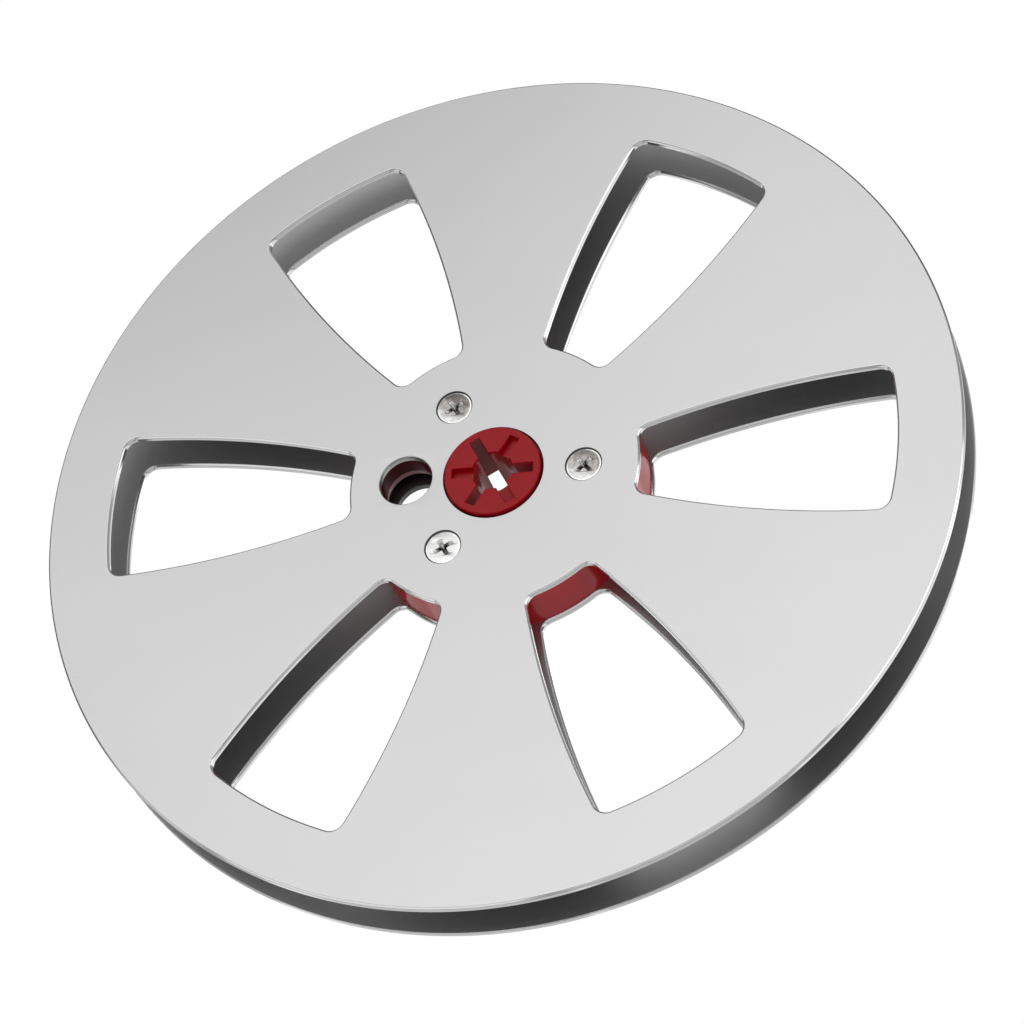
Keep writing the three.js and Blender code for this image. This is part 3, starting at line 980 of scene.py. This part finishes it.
def hub(name, plastic):
    """The drum and web joined to the ribs, posts, collar and boss, with the holes cut last."""
    body = drum()
    rib_length = DRUM_RADIUS - DRUM_WALL / 2 - BOSS_JOIN_RADIUS
    end_z = INNER_FACE_Z - END_CLEARANCE
    for i in range(SCREW_COUNT):
        angle = i * THIRD_TURN
        rib = box(rib_length, RIB_THICKNESS, 2 * end_z)
        boolean(body, at_polar(rib, BOSS_JOIN_RADIUS, angle, angle), "UNION")
        post = cylinder(SCREW_POST_RADIUS, -end_z, end_z, POST_SEGMENTS)
        boolean(body, at_polar(post, SCREW_CIRCLE_RADIUS, angle), "UNION")
    collar = cylinder(PEEP_COLLAR_RADIUS, PEEP_COLLAR_END_Z, end_z, HOLE_SEGMENTS)
    boolean(body, at_polar(collar, PEEP_CIRCLE_RADIUS, HALF_TURN), "UNION")
    boolean(body, boss(), "UNION")
    for i in range(SCREW_COUNT):
        boolean(body, at_polar(pilot(), SCREW_CIRCLE_RADIUS, i * THIRD_TURN), "DIFFERENCE")
    boolean(body, at_polar(peep_cutter(), PEEP_CIRCLE_RADIUS, HALF_TURN), "DIFFERENCE")
    body.name = name
    only_material(body, plastic)
    return shade(body)


# ---- Screws ----

SCREW_SEGMENTS = 96
THREAD_STEPS = 10
WING_COUNT = 4
WING_ROUND_SEGMENTS = 6
CROSS_CORNER_SEGMENTS = 4


def thread_radius(angle, z, low, high):
    """A single-start thread whose ridge fades out over half a pitch at both ends."""
    phase = (z / THREAD_PITCH - angle / FULL_TURN) % 1
    ridge = max(0, 1 - abs(phase - 0.5) / (THREAD_RIDGE_SHARE / 2))
    fade = min(1, (z - low) / (THREAD_PITCH / 2), (high - z) / (THREAD_PITCH / 2))
    return SHANK_CORE_RADIUS + (SHANK_RADIUS - SHANK_CORE_RADIUS) * ridge * max(0, fade)


def screw_blank(name):
    """Point, threaded shank, countersunk head and rounded rim, standing on the axis."""
    shape = Shape()
    head_rim = HEAD_TOP_Z - HEAD_RIM_HEIGHT
    neck = head_rim - (HEAD_RADIUS - SHANK_CORE_RADIUS)
    thread_low = SCREW_TIP_Z + TIP_LENGTH
    rings = [shape.ring(around(TIP_RADIUS, SCREW_SEGMENTS), SCREW_TIP_Z)]
    angles = [FULL_TURN * i / SCREW_SEGMENTS for i in range(SCREW_SEGMENTS)]
    count = round((neck - thread_low) / THREAD_PITCH * THREAD_STEPS)
    for i in range(count + 1):
        z = thread_low + (neck - thread_low) * i / count
        rings.append(shape.ring([polar(thread_radius(a, z, thread_low, neck), a) for a in angles], z))
    rim = [(HEAD_RADIUS, head_rim)]
    for slope in quarter_turn_steps(ROUND_STEPS):
        radius = HEAD_RADIUS - HEAD_EDGE_ROUND * (1 - math.cos(slope))
        rim.append((radius, HEAD_TOP_Z - HEAD_BEVEL_DROP - HEAD_EDGE_ROUND * (1 - math.sin(slope))))
    rim.append((HEAD_BEVEL_START, HEAD_TOP_Z))
    for radius, z in rim:
        rings.append(shape.ring(around(radius, SCREW_SEGMENTS), z))
    for lower, upper in zip(rings, rings[1:]):
        shape.band(lower, upper)
    shape.cap(rings[0])
    shape.cap(rings[-1])
    return shape.make(name)


def cross_outline(span, width, wing_round):
    """A cross with rounded wing ends and rounded inner corners."""
    outline = []
    inner = width / 2 + RECESS_INNER_ROUND
    corner = (inner, inner)
    tip = Vector((span / 2 - wing_round, width / 2 - wing_round))
    wing = [
        *arc((tip.x, -tip.y), wing_round, -QUARTER_TURN, 0, WING_ROUND_SEGMENTS),
        *arc((tip.x, tip.y), wing_round, 0, QUARTER_TURN, WING_ROUND_SEGMENTS),
        *arc(corner, RECESS_INNER_ROUND, -QUARTER_TURN, -HALF_TURN, CROSS_CORNER_SEGMENTS, into=-1),
    ]
    for i in range(WING_COUNT):
        outline += turned_by(wing, i * QUARTER_TURN)
    return outline


def recess_cutter():
    """The cross recess: its wings narrow and shorten towards its floor, and its mouth is flared."""
    shape = Shape()
    rings = []
    levels = [(-RECESS_OVERSHOOT, RECESS_MOUTH_FLARE), (0, RECESS_MOUTH_FLARE), (RECESS_MOUTH_FLARE, 0)]
    levels += [(RECESS_DEPTH * share, 0) for share in RECESS_LEVEL_SHARES]
    for depth, flare in levels:
        share = max(0, depth) / RECESS_DEPTH
        span = RECESS_SPAN * (1 - (1 - RECESS_FLOOR_SPAN_SHARE) * share)
        width = RECESS_WING_WIDTH * (1 - (1 - RECESS_FLOOR_WIDTH_SHARE) * share)
        wing_round = RECESS_WING_ROUND * width / RECESS_WING_WIDTH
        outline = cross_outline(span, width, wing_round)
        rings.append(shape.ring(offset(outline, flare), HEAD_TOP_Z - depth))
    for upper, lower in zip(rings, rings[1:]):
        shape.band(upper, lower)
    shape.cap(rings[0])
    shape.cap(rings[-1])
    return shape.make("tool")


def screw(name, angle, recess_angle, steel, rear):
    """One screw in its seat. A rear one is made at the front and turned over with its place."""
    body = screw_blank(name)
    boolean(body, at_polar(recess_cutter(), 0, 0, recess_angle), "DIFFERENCE")
    at_polar(body, SCREW_CIRCLE_RADIUS, angle)
    if rear:
        turned_over(body)
    only_material(body, steel)
    return shade(body)


# ---- Assembly ----


def place(piece, node):
    """Puts a piece on the reel's one body, in place of its CAD node."""
    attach(piece, "root")
    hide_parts(node)


def build_reel():
    sheet = satin_aluminium("satin_aluminium", brightness=0.72, roughness=0.33)
    # The inner faces get a dimmer copy of the sheet: painted shade between the flanges.
    inside = satin_aluminium("shaded_inner_face_aluminium", brightness=0.6, roughness=0.42)
    finishes = (sheet, machined_aluminium(), inside, painted_shade_aluminium())
    front = flange("front_flange_sheet", SHEET_SLOT, *finishes)
    rear = turned_over(flange("rear_flange_sheet", SHADE_SLOT, *finishes))
    place(front, "front_flange")
    place(rear, "rear_flange")
    place(hub("moulded_hub", red_plastic()), "hub")
    sides = (("front", FRONT_RECESS_DEGREES, FRONT_TARNISH), ("rear", REAR_RECESS_DEGREES, REAR_TARNISH))
    for side, recess_degrees, tarnish in sides:
        for i in range(SCREW_COUNT):
            angle = i * THIRD_TURN
            spot = polar(SCREW_CIRCLE_RADIUS, angle if side == "front" else -angle)
            steel = plated_steel(f"{side}_steel_{i + 1}", spot, tarnish[i])
            recess_angle = math.radians(recess_degrees[i])
            made = screw(f"{side}_cross_screw_{i + 1}", angle, recess_angle, steel, side == "rear")
            place(made, f"{side}_screw_{i + 1}")


# ---- Studio ----

# Angles are in degrees and the camera's distances in metres. The aim shifts it across its own view.
CAMERA_AZIMUTH = 28.75
CAMERA_ELEVATION = 55.47
CAMERA_ROLL = -29.45
CAMERA_DISTANCE = 0.7394
CAMERA_LENS = 138.3
CAMERA_SENSOR_WIDTH = 36
CAMERA_CLIP = (0.01, 50)
AIM_RIGHT = 0.00182
AIM_DOWN = 0.00443
WORLD_ABOVE = 0.3
WORLD_BELOW = 0.1
WORLD_FADE = 0.05

# The floor's size and its gap below the reel, in millimetres
FLOOR_RADIUS = 4000
FLOOR_GAP = 0.05
FLOOR_SEGMENTS = 64

# Each soft light's name, azimuth from the camera's, elevation, width, height and brightness
SOFTBOXES = (
    ("back", 180, 60, 0.6, 0.6, 0.56),
    ("back_left", -145, 53, 0.5, 0.6, 0.34),
    ("back_right", 145, 53, 0.5, 0.6, 0.4),
    ("overhead", 180, 88, 0.6, 0.6, 0.8),
    ("side_left", -62, 20, 1.0, 0.4, 0.48),
    ("side_right", 62, 20, 1.0, 0.4, 0.95),
    ("front", 0, 32, 0.9, 0.4, 0.25),
    ("strip_left", -110, 8, 0.6, 0.3, 0.33),
    ("low_right", 70, -50, 0.8, 0.6, 0.7),
    ("low_left", -70, -50, 0.8, 0.6, 0.45),
    ("under_front", 0, -58, 0.6, 0.6, 0.4),
    ("under_left", -125, -55, 0.6, 0.7, 0.3),
    ("under_right", 125, -55, 0.6, 0.7, 0.6),
    ("under_back", 180, -58, 0.6, 0.6, 0.96),
)


def camera_axes():
    """Right, up and back of the camera, before its roll."""
    azimuth, elevation = math.radians(CAMERA_AZIMUTH), math.radians(CAMERA_ELEVATION)
    flat = Vector((math.sin(azimuth), -math.cos(azimuth), 0))
    back = flat * math.cos(elevation) + Vector((0, 0, math.sin(elevation)))
    right = Vector((math.cos(azimuth), math.sin(azimuth), 0))
    return right, back.cross(right), back


def add_camera():
    right, up, back = camera_axes()
    roll = Matrix.Rotation(math.radians(CAMERA_ROLL), 3, back)
    right, up = roll @ right, roll @ up
    data = bpy.data.cameras.new("camera")
    data.lens = CAMERA_LENS
    data.sensor_width = CAMERA_SENSOR_WIDTH
    data.clip_start, data.clip_end = CAMERA_CLIP
    camera = bpy.data.objects.new("camera", data)
    axes = Matrix((right, up, back)).transposed()
    spot = right * AIM_RIGHT - up * AIM_DOWN + back * CAMERA_DISTANCE
    camera.matrix_world = Matrix.Translation(spot) @ axes.to_4x4()
    bpy.context.scene.collection.objects.link(camera)
    bpy.context.scene.camera = camera


def add_softbox(name, azimuth, elevation, width, height, brightness):
    """A soft light one metre away that faces the reel. Azimuth is counted from the camera's."""
    turn = math.radians(CAMERA_AZIMUTH + azimuth)
    lift = math.radians(elevation)
    way = Vector((math.sin(turn) * math.cos(lift), -math.cos(turn) * math.cos(lift), math.sin(lift)))
    data = bpy.data.lights.new(name, "AREA")
    data.shape = "RECTANGLE"
    data.size, data.size_y = width, height
    data.energy = brightness * math.pi * width * height
    light = bpy.data.objects.new(name, data)
    light.location = way
    light.rotation_mode = "QUATERNION"
    light.rotation_quaternion = way.to_track_quat("Z", "Y")
    bpy.context.scene.collection.objects.link(light)


def add_world():
    """White where the camera sees it. As light it is grey, and darker below the horizon."""
    world = bpy.data.worlds.new("studio")
    world.use_nodes = True
    tree = world.node_tree
    tree.nodes.clear()
    output = tree.nodes.new("ShaderNodeOutputWorld")
    seen = tree.nodes.new("ShaderNodeBackground")
    seen.inputs["Color"].default_value = (1, 1, 1, 1)
    lit = tree.nodes.new("ShaderNodeBackground")
    way = tree.nodes.new("ShaderNodeTexCoord")
    split = tree.nodes.new("ShaderNodeSeparateXYZ")
    fade = tree.nodes.new("ShaderNodeMapRange")
    fade.inputs["From Min"].default_value = -WORLD_FADE
    fade.inputs["From Max"].default_value = WORLD_FADE
    fade.inputs["To Min"].default_value = WORLD_BELOW
    fade.inputs["To Max"].default_value = WORLD_ABOVE
    tree.links.new(way.outputs["Generated"], split.inputs["Vector"])
    tree.links.new(split.outputs["Z"], fade.inputs["Value"])
    tree.links.new(fade.outputs["Result"], lit.inputs["Color"])
    path = tree.nodes.new("ShaderNodeLightPath")
    mix = tree.nodes.new("ShaderNodeMixShader")
    tree.links.new(path.outputs["Is Camera Ray"], mix.inputs["Fac"])
    tree.links.new(lit.outputs["Background"], mix.inputs[1])
    tree.links.new(seen.outputs["Background"], mix.inputs[2])
    tree.links.new(mix.outputs["Shader"], output.inputs["Surface"])
    bpy.context.scene.world = world


def add_floor():
    """A wide white disc that glows. Only the camera sees it, so it neither lights nor shades the reel."""
    shape = Shape()
    shape.face(shape.ring(around(FLOOR_RADIUS, FLOOR_SEGMENTS), cad_low.z / MM - FLOOR_GAP))
    white = bpy.data.materials.new("white_floor")
    white.use_nodes = True
    tree = white.node_tree
    tree.nodes.clear()
    output = tree.nodes.new("ShaderNodeOutputMaterial")
    glow = tree.nodes.new("ShaderNodeEmission")
    tree.links.new(glow.outputs["Emission"], output.inputs["Surface"])
    floor = to_metres(shape.make("floor", white))
    floor.visible_diffuse = False
    floor.visible_glossy = False
    floor.visible_shadow = False
    floor.visible_transmission = False


def build_studio():
    scene = bpy.context.scene
    scene.view_settings.view_transform = "Standard"
    add_camera()
    add_world()
    add_floor()
    for softbox in SOFTBOXES:
        add_softbox(*softbox)


build_reel()
build_studio()
